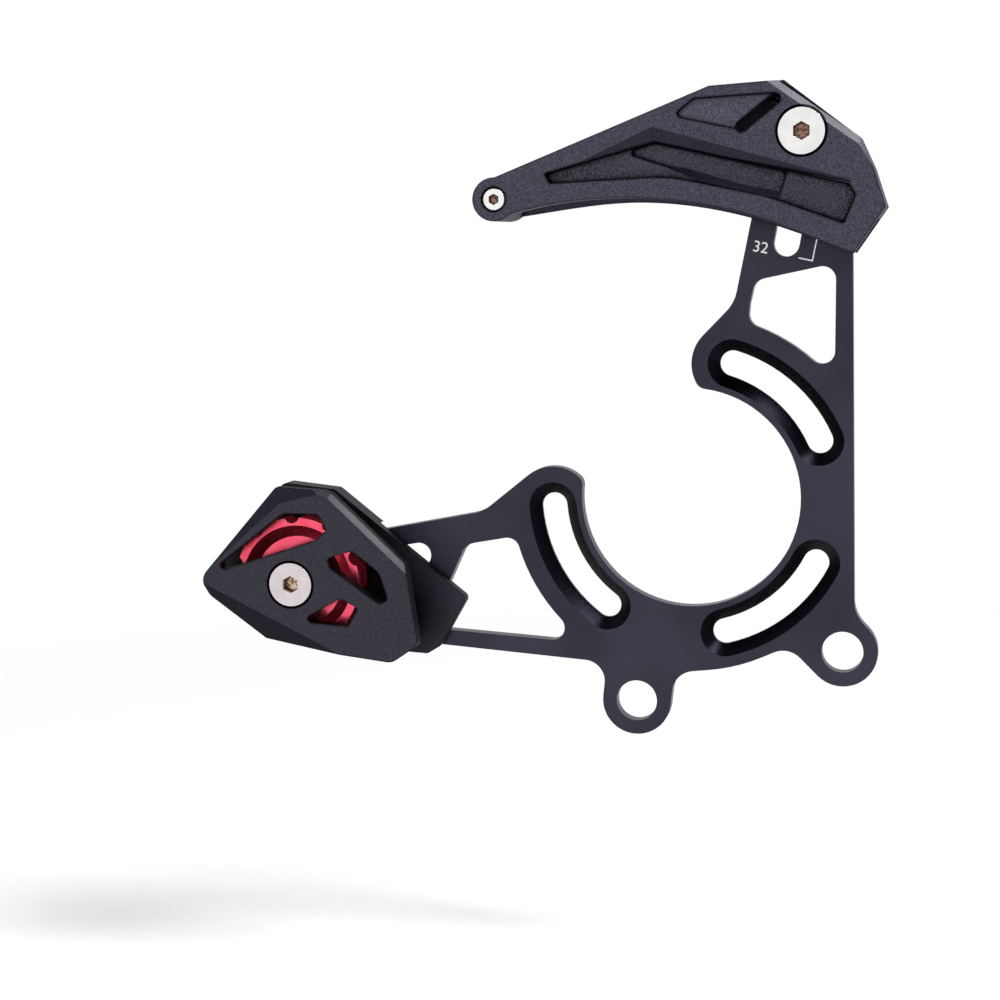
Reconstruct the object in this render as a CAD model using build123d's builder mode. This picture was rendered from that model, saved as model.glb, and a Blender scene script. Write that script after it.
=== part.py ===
"""Bicycle chain guide: slotted back plate, two-part upper guide and roller cage, in millimetres.

The origin is on the bottom bracket axis at the plate's back face. +X points forward along the
bicycle, +Z up, and the fronts face -Y, away from the frame.
"""
import os
from math import atan2, cos, degrees, hypot, radians, sin, tan

from build123d import *

os.makedirs("parts", exist_ok=True)

# Back plate
plate_thickness = 4.0
mouth_radius = 3.0
bore_wall = 1.57

# Three arc slots on the 73 mm circle of the frame's guide tabs
tab_circle_radius = 36.5
tab_slot_angles = (47.86, -52.14, 207.86)
tab_slot_sweep = 48.5
tab_slot_width = 6.66
tab_slot_bevel = 3.0
lobe_radius = 10.5

# Two ears that carry a guard
ear_stem = 10.3
ear_angles = (-105.4, -45.8)
ear_radius = 9.05
ear_hole_radius = 5.36
lower_ear_lean = -97.0

# Ring round the bottom bracket and the two windows beside it: walls outside the bevelled slots
ring_wall = 2.87
ring_half_span = 9.0
window_rim_wall = 4.82
window_corner_radius = 3.3

# Slotted arm that carries the upper guide: slot low end, lean from upright, centre distance
upper_slot_end = (25.4, 65.2)
upper_slot_lean = 11.2
upper_slot_length = 28.0
upper_bolt_from_top = 0.2
upper_arm_lean = 12.1
right_edge_wall = 2.33
right_ear_blend = 9.0

# Slotted arm that carries the roller cage: inner end, drop below level, centre distance
rear_slot_end = (-73.2, -15.6)
rear_slot_drop = 10.0
rear_slot_length = 34.5
rear_bolt_from_end = 4.0
rear_arm_half_width = 8.5

# Lower strip that braces the rear arm: height over the ear's side, slope and walls to its window
strip_above_ear = 9.06
strip_slope = -5.25
strip_reach = -79.5
strip_walls = (4.1, 4.6)

# Running and seating clearances
slide_gap = 0.05
key_clearance = 0.1
bore_clearance = 0.1
thread_clearance = 0.02
seat_clearance = 0.01
bearing_fit = 0.03
arm_slot_clearance = 0.33
key_bolt_gap = 4.3

# Countersunk M6 bolts with nut and washer, and the M4 bolt at the guide's nose
bolt_radius = 2.97
bolt_head_radius = 5.7
bolt_head_rim = 0.4
bolt_key_size = 4.0
bolt_key_depth = 2.6
nut_across_flats = 10.0
nut_height = 5.0
washer_radius = 6.0
washer_thickness = 1.0
tip_bolt_radius = 2.0
tip_head_radius = 3.1
tip_head_height = 2.4
tip_key_size = 2.5
tip_key_depth = 1.4
tip_head_bevel = 0.5
tip_bolt_recess = 0.4
tip_nut_across_flats = 7.0
tip_nut_height = 3.2

# Both cages
cage_depth = 20.0
key_recess = 1.0
edge_bevel_slope = 45.0

# Upper guide moulding
guide_wall = 6.0
guide_inner_wall = 4.0
guide_parting = 8.0
guide_roof = (-2.0, -3.2)
guide_tip = (-77.1, -14.6)
guide_tip_radius = 5.5
guide_boss_radius = 7.0
guide_bevel = 1.7
guide_side_bevel_end = (12.5, -1.9)
guide_facet_slope = 22.0
guide_facet_reach = 3.4
guide_pocket_depth = 2.6
guide_well_depth = 3.6
guide_panel_depth = 0.6
guide_vent_width = 3.0
guide_vent = [(-14.7, 1.5), (-6.4, 7.9)]
guide_inner_drop = 0.9
guide_inner_shoulder = 1.0
guide_shoulder_angle = 54.0
guide_key_along = 12.0
sleeve_wall = 1.13
sleeve_recess = 0.3

# Roller cage covers
outer_cover_thickness = 4.0
inner_cover_thickness = 3.5
cover_facet_slope = 24.0
skirt_thickness = 2.5
skirt_reach = 3.0
skirt_clearance = 1.9
roller_key_along = 14.0
post_radius = 2.5
post_place = (26.0, -13.0)
post_seat_depth = 1.2
post_end_gap = 0.3

# Pulley and its ball bearing, 6 mm bore and 15 mm across
pulley_lobes = 10
pulley_lobe_angle = 3.4
pulley_radius = 17.0
pulley_valley_radius = 15.5
pulley_scallop_radius = 2.2
pulley_width = 8.0
pulley_dish_radii = (14.9, 11.9)
pulley_dish_depth = 1.8
pulley_hub_wall = 1.4
pulley_bore_lip = 1.0
bearing_radius = 7.5
bearing_width = 5.0
bearing_ring_wall = 1.3
ball_radius = 1.19
ball_count = 8
ball_sides = 8
shield_thickness = 0.3
shield_seat_depth = 0.4
shield_gap = 0.15
spacer_setback = 0.1


def layer(height, centre=(0, 0)):
    """Plane that faces the viewer, this far in front of the plate's back face."""
    return Plane(origin=(centre[0], -height, centre[1]), x_dir=(1, 0, 0), z_dir=(0, -1, 0))


def polar(radius, angle, centre=(0, 0)):
    """Point at a radius and angle from a centre."""
    return centre[0] + radius * cos(radians(angle)), centre[1] + radius * sin(radians(angle))


def tangent_corner(centre, radius, first, last):
    """Corner where the tangents that touch a circle at two angles meet."""
    return polar(radius / cos(radians(last - first) / 2), (first + last) / 2, centre)


def crossing(start, angle, other, other_angle):
    """Point where two lines, each given by a point and an angle, cross."""
    ax, ay = cos(radians(angle)), sin(radians(angle))
    bx, by = cos(radians(other_angle)), sin(radians(other_angle))
    t = ((other[0] - start[0]) * by - (other[1] - start[1]) * bx) / (ax * by - ay * bx)
    return start[0] + t * ax, start[1] + t * ay


def rounded(corners):
    """Flat shape inside (x, z, corner radius) corners."""
    with BuildSketch() as shape:
        with BuildLine():
            FilletPolyline(*[c[:2] for c in corners], radius=[c[2] for c in corners], close=True)
        make_face()
    return shape.sketch


def facet(start, end, height, slope):
    """Plane hinged on a line of a front face, falling away on the right of start to end."""
    run = (end[0] - start[0], 0, end[1] - start[1])
    flat = Plane(origin=(start[0], -height, start[1]), x_dir=run, z_dir=(0, -1, 0))
    return Plane(flat.location * Location((0, 0, 0), (slope, 0, 0)))


def line_between(start, end):
    """Length and angle of the line from start to end."""
    return hypot(end[0] - start[0], end[1] - start[1]), degrees(atan2(end[1] - start[1], end[0] - start[0]))


def moved(points, centre):
    """Points given from a centre, as points of the whole object."""
    return [(x + centre[0], z + centre[1]) for x, z in points]


# Places that the slots and bolts share
upper_axis = 90 - upper_slot_lean
upper_slot_top = polar(upper_slot_length, upper_axis, upper_slot_end)
guide_bolt = polar(upper_slot_length - upper_bolt_from_top, upper_axis, upper_slot_end)
rear_axis = 180 + rear_slot_drop
rear_slot_far = polar(rear_slot_length, rear_axis, rear_slot_end)
roller_bolt_place = polar(rear_slot_length - rear_bolt_from_end, rear_axis, rear_slot_end)
cage_front = plate_thickness + cage_depth
cage_back = plate_thickness + slide_gap
guide_tip_place = (guide_bolt[0] + guide_tip[0], guide_bolt[1] + guide_tip[1])
bolt_seat_radius = bolt_head_radius + bolt_head_rim + seat_clearance
arm_slot_width = 2 * (bolt_radius + arm_slot_clearance)
key_height = plate_thickness - key_recess
sleeve_radius = bolt_radius + bore_clearance + sleeve_wall
sleeve_front = cage_front - bolt_seat_radius + bolt_radius - sleeve_recess
outer_cover_back = cage_front - outer_cover_thickness
inner_cover_front = cage_back + inner_cover_thickness
pulley_middle = (outer_cover_back + inner_cover_front) / 2
slot_reach = tab_slot_width / 2 + tab_slot_bevel
bb_radius = tab_circle_radius - slot_reach - bore_wall
ring_radius = tab_circle_radius + slot_reach + ring_wall
window_rim_radius = tab_circle_radius + slot_reach + window_rim_wall
ear_reach = ring_radius + ear_stem
slot_ends = [polar(tab_circle_radius, a + s * tab_slot_sweep / 2) for a in tab_slot_angles for s in (-1, 1)]
right_edge = slot_ends[0][0] + slot_reach + right_edge_wall
upper_lobe = slot_ends[1]
rear_lobe = slot_ends[4]
lower_ear, right_ear = [polar(ear_reach, a) for a in ear_angles]


def strip_edge(x, wall=0):
    """Point at x on the strip's lower edge, or a wall above it."""
    return x, strip_notch[1] + (x - strip_notch[0]) * tan(radians(strip_slope)) + wall


# Corners of the plate's outline, clockwise from the arm that carries the upper guide
rear_lobe_normal = 128.0
upper_lobe_normal = 135.0
strip_end = (-71.0, 0.0)
strip_end_slope = 64.0
upper_arm_side = (16.7, 72.4)
upper_arm_corners = [(*p, 3) for p in moved([(-10.3, -2.3), (-5.3, 5.3), (3.2, 4.9)], upper_slot_top)]
upper_arm_shoulder = (right_edge, upper_slot_top[1] - 4.2)
right_ear_sides = [polar(ear_radius, ear_angles[1] + s * 90, right_ear) for s in (1, -1)]
lower_ear_sides = [polar(ear_radius, lower_ear_lean + s * 90, lower_ear) for s in (1, -1)]
ring_mid = sum(ear_angles) / 2
ring_corner = tangent_corner((0, 0), ring_radius, ring_mid - ring_half_span, ring_mid + ring_half_span)
ring_sides = [ring_mid + 90 + ring_half_span, ring_mid + 90 - ring_half_span]
right_notch = crossing(ring_corner, ring_sides[0], right_ear_sides[1], ear_angles[1])
lower_notch = crossing(ring_corner, ring_sides[1], lower_ear_sides[0], lower_ear_lean)
strip_notch = polar(strip_above_ear, lower_ear_lean + 180, lower_ear_sides[1])
strip_point = strip_edge(strip_reach)
right_ear_corner = crossing((right_edge, 0), 90, right_ear_sides[0], ear_angles[1])
right_ear_room = hypot(right_ear_sides[0][0] - right_ear_corner[0], right_ear_sides[0][1] - right_ear_corner[1])
right_ear_fillet = min(right_ear_blend, 0.95 * right_ear_room / tan(radians(90 + ear_angles[1]) / 2))
rear_top = polar(rear_arm_half_width, rear_axis - 90, rear_slot_end)
rear_bottom = polar(rear_arm_half_width, rear_axis + 90, rear_slot_end)
upper_lobe_corner = tangent_corner(upper_lobe, lobe_radius, upper_lobe_normal, 270)
rear_lobe_corner = tangent_corner(rear_lobe, lobe_radius, 0, rear_lobe_normal)
rear_neck = crossing(rear_top, rear_axis, rear_lobe_corner, rear_lobe_normal - 90)
upper_neck = crossing(upper_arm_side, 90 - upper_arm_lean, upper_lobe_corner, upper_lobe_normal - 90)

with BuildPart() as back_plate:
    with BuildSketch(layer(0)):
        add(rounded([
            *upper_arm_corners, (*upper_arm_shoulder, 4),
            (*right_ear_corner, right_ear_fillet),
            (*right_ear_sides[0], 0), (*right_ear_sides[1], 0), (*right_notch, 6),
            (*ring_corner, ring_radius), (*lower_notch, 6),
            (*lower_ear_sides[0], 0), (*lower_ear_sides[1], 0), (*strip_notch, 5.5),
            (*strip_point, 3), (*crossing(rear_bottom, rear_axis, strip_end, strip_end_slope), 4),
            *[(*tangent_corner(rear_slot_far, rear_arm_half_width, rear_axis + turn - 90, rear_axis + turn),
               rear_arm_half_width - 0.1) for turn in (90, 0)],
            (*rear_neck, 11), (*rear_lobe_corner, lobe_radius),
            (rear_lobe_corner[0], rear_lobe[1] - 4, 0), (upper_lobe[0] + 1, upper_lobe_corner[1], 0),
            (*upper_lobe_corner, lobe_radius), (*upper_neck, 10),
        ]))
        with Locations(lower_ear, right_ear):
            Circle(ear_radius)
        Circle(bb_radius, mode=Mode.SUBTRACT)
    extrude(amount=plate_thickness)
    mouth = back_plate.edges().filter_by(Axis.Y).filter_by(
        lambda e: abs(hypot(e.center().X, e.center().Z) - bb_radius) < 0.01 and e.center().X < bb_radius / 2)
    fillet(mouth, mouth_radius)
    with BuildSketch(layer(0)):
        with Locations(lower_ear, right_ear):
            Circle(ear_hole_radius)
        with Locations(Location((*upper_slot_end, 0), (0, 0, upper_axis))):
            with Locations((upper_slot_length / 2, 0)):
                SlotCenterToCenter(upper_slot_length, arm_slot_width)
        with Locations(Location((*rear_slot_end, 0), (0, 0, rear_axis))):
            with Locations((rear_slot_length / 2, 0)):
                SlotCenterToCenter(rear_slot_length, arm_slot_width)
    extrude(amount=plate_thickness, mode=Mode.SUBTRACT)
    with BuildSketch(layer(0)):
        add(rounded([(15.2, 43.0, 0), (15.9, 50.0, 6), (17.3, 56.0, 3.4), (right_edge - 4.2, 60.0, 3.4),
                     (right_edge - 4.9, 20.0, 0)]))
        add(rounded([(-60.3, -12.6, 4.5), (-40.0, -9.3, 0), (*strip_edge(-25.0, strip_walls[1]), 0),
                     (*strip_edge(-71.0, strip_walls[0]), 3.3)]))
        Circle(window_rim_radius, mode=Mode.SUBTRACT)
    extrude(amount=plate_thickness, mode=Mode.SUBTRACT)
    rim_corners = back_plate.edges().filter_by(Axis.Y).filter_by(
        lambda e: abs(hypot(e.center().X, e.center().Z) - window_rim_radius) < 0.01)
    fillet(rim_corners, window_corner_radius)
    with BuildSketch(layer(0)):
        for angle in tab_slot_angles:
            with BuildLine():
                arc = CenterArc((0, 0), tab_circle_radius, angle - tab_slot_sweep / 2, tab_slot_sweep)
            SlotArc(arc, tab_slot_width)
    extrude(amount=plate_thickness, mode=Mode.SUBTRACT)
    rims = back_plate.faces().sort_by(Axis.Y)[0].inner_wires()
    slot_rims = [rim.edges() for rim in rims if all(
        abs(hypot(v.X, v.Z) - tab_circle_radius) < tab_slot_width / 2 + 0.01 for v in rim.vertices())]
    chamfer(slot_rims, tab_slot_bevel)
back_plate.part.label = "back_plate"
export_step(back_plate.part, "parts/back_plate.step")

# Outline of the upper guide and its features, from the bolt's axis
guide_arch = [(12.4, -30.0), (-6.0, -22.4), (-24.9, -17.1), (-45.5, -15.1), (-67.9, -17.2), (-75.6, -19.1)]
guide_top = [(-80.2, -10.4), (-22.5, 11.6), (-5.7, 12.4), (13.9, -1.7), (17.3, -9.3), (20.3, -18.8)]


def guide_outline(drop, shoulder):
    """Side view of the guide, its arch lowered by drop and its top corner raised by shoulder."""
    arch = [guide_arch[0], *[(x, z - drop) for x, z in guide_arch[1:-1]], guide_arch[-1]]
    top = [*guide_top[:2], polar(shoulder, guide_shoulder_angle, guide_top[2]), *guide_top[3:]]
    with BuildSketch() as shape:
        with BuildLine():
            Line(arch[0], arch[1])
            Spline(*arch[1:])
            Polyline(arch[-1], *top, arch[0])
        make_face()
        with Locations(guide_tip):
            Circle(guide_tip_radius)
    return shape.sketch


def guide_channel():
    """Room for the chain inside the guide: open below and at both ends, with the bolt bosses left in."""
    with BuildSketch() as shape:
        with Locations(guide_roof):
            add(guide_outline(0, 0))
        with Locations((guide_roof[0], guide_roof[1] - 12)):
            add(guide_outline(0, 0))
        Circle(guide_boss_radius, mode=Mode.SUBTRACT)
        with Locations(guide_tip):
            Circle(guide_tip_radius, mode=Mode.SUBTRACT)
    return shape.sketch


with BuildPart() as upper_guide_outer:
    parting = plate_thickness + guide_parting
    channel_front = cage_front - guide_wall
    with BuildSketch(layer(parting, guide_bolt)):
        add(guide_outline(0, 0))
    extrude(amount=cage_front - parting)
    with BuildSketch(layer(parting, guide_bolt)):
        add(guide_channel())
    extrude(amount=channel_front - parting, mode=Mode.SUBTRACT)

    # Bevel along the upper right edge, and one that tapers away down the right side
    first, last = moved(guide_top[2:4], guide_bolt)
    bevel_middle = ((first[0] + last[0]) / 2, -cage_front, (first[1] + last[1]) / 2)
    face_edges = upper_guide_outer.faces().sort_by(Axis.Y)[0].edges()
    chamfer(face_edges.sort_by_distance(bevel_middle)[0], guide_bevel)
    side_start, side_end = moved([guide_top[4], guide_side_bevel_end], guide_bolt)
    side_run = line_between(side_start, side_end)[0]
    with BuildSketch(facet(side_start, side_end, cage_front, edge_bevel_slope)):
        with Locations((side_run / 2, 0)):
            Rectangle(side_run + 4, 4, align=(Align.CENTER, Align.MAX))
    extrude(amount=guide_bevel, mode=Mode.SUBTRACT)

    # Two facets that slope down to the long pocket and meet on the line that halves their corner
    facet_top = moved([(-57.5, -7.0), (-36.7, 2.1), (11.9, -12.2)], guide_bolt)
    left_run, left_angle = line_between(*facet_top[:2])
    right_run, right_angle = line_between(*facet_top[1:])
    facet_back = guide_facet_reach * tan(radians(left_angle - right_angle) / 2)
    facet_down = guide_facet_reach / cos(radians(guide_facet_slope))
    with BuildSketch(facet(*facet_top[:2], cage_front, guide_facet_slope)):
        with BuildLine():
            Polyline((0, 0), (left_run, 0), (left_run - facet_back, -facet_down), (0, 0))
        make_face()
    extrude(amount=guide_wall, mode=Mode.SUBTRACT)
    with BuildSketch(facet(*facet_top[1:], cage_front, guide_facet_slope)):
        with BuildLine():
            Polyline((0, 0), (right_run, 0), (right_run, -0.6), (facet_back, -facet_down), (0, 0))
        make_face()
    extrude(amount=guide_wall, mode=Mode.SUBTRACT)

    # Long pocket, the deeper well in it, and the slit along the well's lower edge
    pocket = [(-64.2, -8.5, 0.6), (-62.9, -11.1, 0.6), (-33.0, -10.2, 40), (-9.0, -15.6, 40), (10.2, -22.8, 0.8),
              (13.1, -15.8, 0.8), (11.5, -13.0, 0.6), (-36.5, -1.3, 0.8)]
    with BuildSketch(layer(cage_front, guide_bolt)):
        add(rounded(pocket))
    extrude(amount=-guide_pocket_depth, mode=Mode.SUBTRACT)
    with BuildSketch(layer(cage_front, guide_bolt)):
        add(rounded([(-44.7, -3.9, 1), (-36.5, -1.6, 0.8), (-3.6, -9.7, 0.5), (-5.7, -15.9, 0.5), (-31.4, -8.4, 0)]))
    extrude(amount=-guide_well_depth, mode=Mode.SUBTRACT)
    with BuildSketch(layer(cage_front, guide_bolt)):
        add(rounded([(-34.5, -7.3, 0.2), (-28.3, -8.4, 3), (-16.3, -12.4, 20), (-4.6, -15.0, 0.4),
                     (-6.6, -16.1, 0.4), (-24.3, -11.7, 8)]))
    extrude(amount=-guide_wall, mode=Mode.SUBTRACT)

    # Shallow panel above, with a vent slot into the channel
    with BuildSketch(layer(cage_front, guide_bolt)):
        add(rounded([(-30.5, 5.6, 0.8), (-26.3, 8.8, 0.8), (-6.4, 9.5, 0.8), (-4.7, 8.4, 0.6), (-13.6, 0.3, 0.8),
                     (-30.2, 4.2, 0.8)]))
    extrude(amount=-guide_panel_depth, mode=Mode.SUBTRACT)
    with BuildSketch(layer(cage_front, guide_bolt)):
        vent_run, vent_slope = line_between(*guide_vent)
        with Locations(Location((*guide_vent[0], 0), (0, 0, vent_slope))):
            with Locations((vent_run / 2, 0)):
                SlotCenterToCenter(vent_run, guide_vent_width)
    extrude(amount=-guide_wall, mode=Mode.SUBTRACT)

    # Countersunk seat and bush bore at the slot bolt, counterbore at the nose bolt
    with Locations(layer(cage_front, guide_bolt)):
        CounterSinkHole(bolt_radius + bore_clearance, bolt_seat_radius, counter_sink_angle=90)
    with BuildSketch(layer(parting, guide_bolt)):
        Circle(sleeve_radius + seat_clearance)
    extrude(amount=sleeve_front - parting, mode=Mode.SUBTRACT)
    with Locations(layer(cage_front, guide_tip_place)):
        CounterBoreHole(tip_bolt_radius + bore_clearance, tip_head_radius + bore_clearance, tip_head_height)
upper_guide_outer.part.label = "upper_guide_outer"
export_step(upper_guide_outer.part, "parts/upper_guide_outer.step")


def slot_key(angle, far):
    """Obround key that runs in a slot, from beside its bolt to far along the slot."""
    near = bolt_radius + key_bolt_gap
    with BuildSketch() as shape:
        with Locations(Location((0, 0, 0), (0, 0, angle))):
            with Locations(((near + far) / 2, 0)):
                SlotCenterToCenter(far - near, arm_slot_width - 2 * key_clearance)
    return shape.sketch


with BuildPart() as upper_guide_inner:
    with BuildSketch(layer(cage_back, guide_bolt)):
        add(guide_outline(guide_inner_drop, guide_inner_shoulder))
    extrude(amount=parting - cage_back)
    with BuildSketch(layer(plate_thickness + guide_inner_wall, guide_bolt)):
        add(guide_channel())
    extrude(amount=guide_parting, mode=Mode.SUBTRACT)
    with BuildSketch(layer(cage_back, guide_bolt)):
        add(slot_key(upper_axis + 180, guide_key_along))
    extrude(amount=-key_height)
    with BuildSketch(layer(cage_back, guide_bolt)):
        Circle(sleeve_radius + seat_clearance)
        with Locations(guide_tip):
            Circle(tip_bolt_radius + bore_clearance)
    extrude(amount=guide_parting, mode=Mode.SUBTRACT)
    with BuildSketch(layer(cage_back, guide_tip_place)):
        RegularPolygon(tip_nut_across_flats / 2 + seat_clearance, 6, major_radius=False)
    extrude(amount=tip_nut_height, mode=Mode.SUBTRACT)
upper_guide_inner.part.label = "upper_guide_inner"
export_step(upper_guide_inner.part, "parts/upper_guide_inner.step")


def turned(profile, front, centre):
    """Round piece from (radius, depth behind front) corners, its axis along Y."""
    side = Plane(origin=(centre[0], -front, centre[1]), x_dir=(1, 0, 0), z_dir=(0, 0, 1))
    with BuildPart() as piece:
        with BuildSketch(side):
            with BuildLine():
                Polyline(*profile, close=True)
            make_face()
        revolve(axis=Axis(side.origin, (0, 1, 0)))
    return piece.part


def tube(outer, inner, length, front, centre):
    """Plain round tube whose front end is this far in front of the plate's back."""
    return turned([(inner, 0), (outer, 0), (outer, length), (inner, length)], front, centre)


def countersunk_bolt(centre):
    """M6 hex socket bolt with a flat conical head, its end flush with the nut."""
    cone_end = bolt_head_radius + bolt_head_rim - bolt_radius
    length = cage_front + slide_gap + washer_thickness + nut_height
    with BuildPart() as bolt:
        add(turned([(0, 0), (bolt_head_radius, 0), (bolt_head_radius, bolt_head_rim), (bolt_radius, cone_end),
                    (bolt_radius, length), (0, length)], cage_front, centre))
        with BuildSketch(layer(cage_front, centre)):
            RegularPolygon(bolt_key_size / 2, 6, major_radius=False, rotation=30)
        extrude(amount=-bolt_key_depth, mode=Mode.SUBTRACT)
    return bolt.part


def hex_nut(across_flats, height, bore, front, centre):
    """Plain hexagon nut."""
    with BuildPart() as nut:
        with BuildSketch(layer(front, centre)):
            RegularPolygon(across_flats / 2, 6, major_radius=False)
            Circle(bore, mode=Mode.SUBTRACT)
        extrude(amount=-height)
    return nut.part


with BuildPart() as upper_guide_bolt:
    add(countersunk_bolt(guide_bolt))
upper_guide_bolt.part.label = "upper_guide_bolt"
export_step(upper_guide_bolt.part, "parts/upper_guide_bolt.step")

with BuildPart() as upper_guide_sleeve:
    add(tube(sleeve_radius, bolt_radius + bore_clearance, sleeve_front - cage_back, sleeve_front, guide_bolt))
upper_guide_sleeve.part.label = "upper_guide_sleeve"
export_step(upper_guide_sleeve.part, "parts/upper_guide_sleeve.step")

with BuildPart() as upper_guide_washer:
    add(tube(washer_radius, bolt_radius + bore_clearance, washer_thickness, -slide_gap, guide_bolt))
upper_guide_washer.part.label = "upper_guide_washer"
export_step(upper_guide_washer.part, "parts/upper_guide_washer.step")

nut_front = -slide_gap - washer_thickness
with BuildPart() as upper_guide_nut:
    add(hex_nut(nut_across_flats, nut_height, bolt_radius + thread_clearance, nut_front, guide_bolt))
upper_guide_nut.part.label = "upper_guide_nut"
export_step(upper_guide_nut.part, "parts/upper_guide_nut.step")

with BuildPart() as guide_tip_bolt:
    tip_length = cage_front - cage_back - tip_bolt_recess
    add(turned([(0, 0), (tip_head_radius, 0), (tip_head_radius, tip_head_height), (tip_bolt_radius, tip_head_height),
                (tip_bolt_radius, tip_length), (0, tip_length)], cage_front, guide_tip_place))
    with BuildSketch(layer(cage_front, guide_tip_place)):
        RegularPolygon(tip_key_size / 2, 6, major_radius=False, rotation=30)
    extrude(amount=-tip_key_depth, mode=Mode.SUBTRACT)
    chamfer(guide_tip_bolt.faces().sort_by(Axis.Y)[0].outer_wire().edges(), tip_head_bevel)
guide_tip_bolt.part.label = "guide_tip_bolt"
export_step(guide_tip_bolt.part, "parts/guide_tip_bolt.step")

with BuildPart() as guide_tip_nut:
    add(hex_nut(tip_nut_across_flats, tip_nut_height, tip_bolt_radius + thread_clearance,
                cage_back + tip_nut_height, guide_tip_place))
guide_tip_nut.part.label = "guide_tip_nut"
export_step(guide_tip_nut.part, "parts/guide_tip_nut.step")

# Outlines of the roller cage's covers and its windows, from the bolt's axis
cover_lower = [(-22.6, -3.2, 3), (-8.0, -14.8, 1), (12.4, -18.4, 30), (27.0, -20.4, 4)]
outer_cover_outline = [
    (-24.8, 1.4, 4), (-3.6, 25.7, 1.5), (9.3, 24.8, 0), (11.8, 23.8, 0), (30.9, 5.5, 3), (31.9, 1.0, 3),
    (34.2, -15.6, 2), *reversed(cover_lower)]
inner_cover_outline = [
    (-28.0, 1.6, 4), (-6.0, 25.2, 2), (8.1, 23.4, 1), (43.8, -5.6, 1.5), (36.0, -18.8, 2), (32.6, -20.8, 1.5),
    *reversed(cover_lower[1:]), (-25.8, -3.0, 3)]
cover_windows = [
    [(-19.9, 4.9, 0.9), (-1.5, 18.8, 3), (8.1, 18.7, 1.2), (10.3, 14.8, 0.8), (7.6, 11.8, 2.5), (-17.9, 3.8, 0.9)],
    [(10.2, 7.0, 0.9), (17.0, 9.0, 1.0), (24.2, 3.4, 3), (26.6, -4.1, 1.4), (23.9, -4.8, 1.0), (11.0, 4.4, 1.4)],
    [(4.0, -8.7, 0.9), (13.5, -3.6, 1.3), (18.4, -6.1, 1.0), (15.4, -10.9, 0.9), (5.0, -10.0, 0.9)]]
cover_facets = [
    ((9.6, 24.2), (-2.2, 21.4), cover_facet_slope), ((-2.2, 21.4), (-30.0, -2.3), cover_facet_slope),
    ((-25.5, 1.0), (12.4, -18.1), cover_facet_slope),
    ((33.0, 1.5), (10.8, 22.8), edge_bevel_slope), ((10.8, 22.8), (8.7, 23.6), edge_bevel_slope)]

with BuildPart() as roller_cover_outer:
    with BuildSketch(layer(outer_cover_back, roller_bolt_place)):
        add(rounded(outer_cover_outline))
    extrude(amount=outer_cover_thickness)

    # Facets that fall away to the left edges, and the bevel along the upper right edges
    for start, end, slope in cover_facets:
        hinge = moved([start, end], roller_bolt_place)
        run = line_between(start, end)[0]
        with BuildSketch(facet(*hinge, cage_front, slope)):
            with Locations((run / 2, 0)):
                Rectangle(run + 16, 12, align=(Align.CENTER, Align.MAX))
        extrude(amount=outer_cover_thickness, mode=Mode.SUBTRACT)

    with BuildSketch(layer(cage_front, roller_bolt_place)):
        for window in cover_windows:
            add(rounded(window))
    extrude(amount=-outer_cover_thickness, mode=Mode.SUBTRACT)
    with Locations(layer(cage_front, roller_bolt_place)):
        CounterSinkHole(bolt_radius + bore_clearance, bolt_seat_radius, counter_sink_angle=90)
    with BuildSketch(layer(outer_cover_back, roller_bolt_place)):
        with Locations(post_place):
            Circle(post_radius + seat_clearance)
    extrude(amount=post_seat_depth + post_end_gap, mode=Mode.SUBTRACT)
roller_cover_outer.part.label = "roller_cover_outer"
export_step(roller_cover_outer.part, "parts/roller_cover_outer.step")

with BuildPart() as roller_cover_inner:
    with BuildSketch(layer(cage_back, roller_bolt_place)):
        add(rounded(inner_cover_outline))
    extrude(amount=inner_cover_thickness)

    # Skirt behind the cover, cut off level with the arm's top edge so that it slides clear
    with BuildSketch(layer(cage_back, roller_bolt_place)):
        add(rounded(inner_cover_outline))
        offset(rounded(inner_cover_outline), amount=-skirt_thickness, mode=Mode.SUBTRACT)
        with Locations(Location((0, 0, 0), (0, 0, rear_slot_drop))):
            with Locations((0, rear_arm_half_width + skirt_clearance)):
                Rectangle(200, 100, align=(Align.CENTER, Align.MAX), mode=Mode.SUBTRACT)
    extrude(amount=-skirt_reach)
    with BuildSketch(layer(cage_back, roller_bolt_place)):
        add(slot_key(rear_slot_drop, roller_key_along))
    extrude(amount=-key_height)
    with BuildSketch(layer(inner_cover_front, roller_bolt_place)):
        with Locations(post_place):
            Circle(post_radius)
    extrude(amount=outer_cover_back - inner_cover_front + post_seat_depth)
    with Locations(layer(inner_cover_front, roller_bolt_place)):
        Hole(bolt_radius + bore_clearance)
roller_cover_inner.part.label = "roller_cover_inner"
export_step(roller_cover_inner.part, "parts/roller_cover_inner.step")

with BuildPart() as roller_bolt:
    add(countersunk_bolt(roller_bolt_place))
roller_bolt.part.label = "roller_bolt"
export_step(roller_bolt.part, "parts/roller_bolt.step")

with BuildPart() as roller_washer:
    add(tube(washer_radius, bolt_radius + bore_clearance, washer_thickness, -slide_gap, roller_bolt_place))
roller_washer.part.label = "roller_washer"
export_step(roller_washer.part, "parts/roller_washer.step")

with BuildPart() as roller_nut:
    add(hex_nut(nut_across_flats, nut_height, bolt_radius + thread_clearance, nut_front, roller_bolt_place))
roller_nut.part.label = "roller_nut"
export_step(roller_nut.part, "parts/roller_nut.step")

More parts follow.
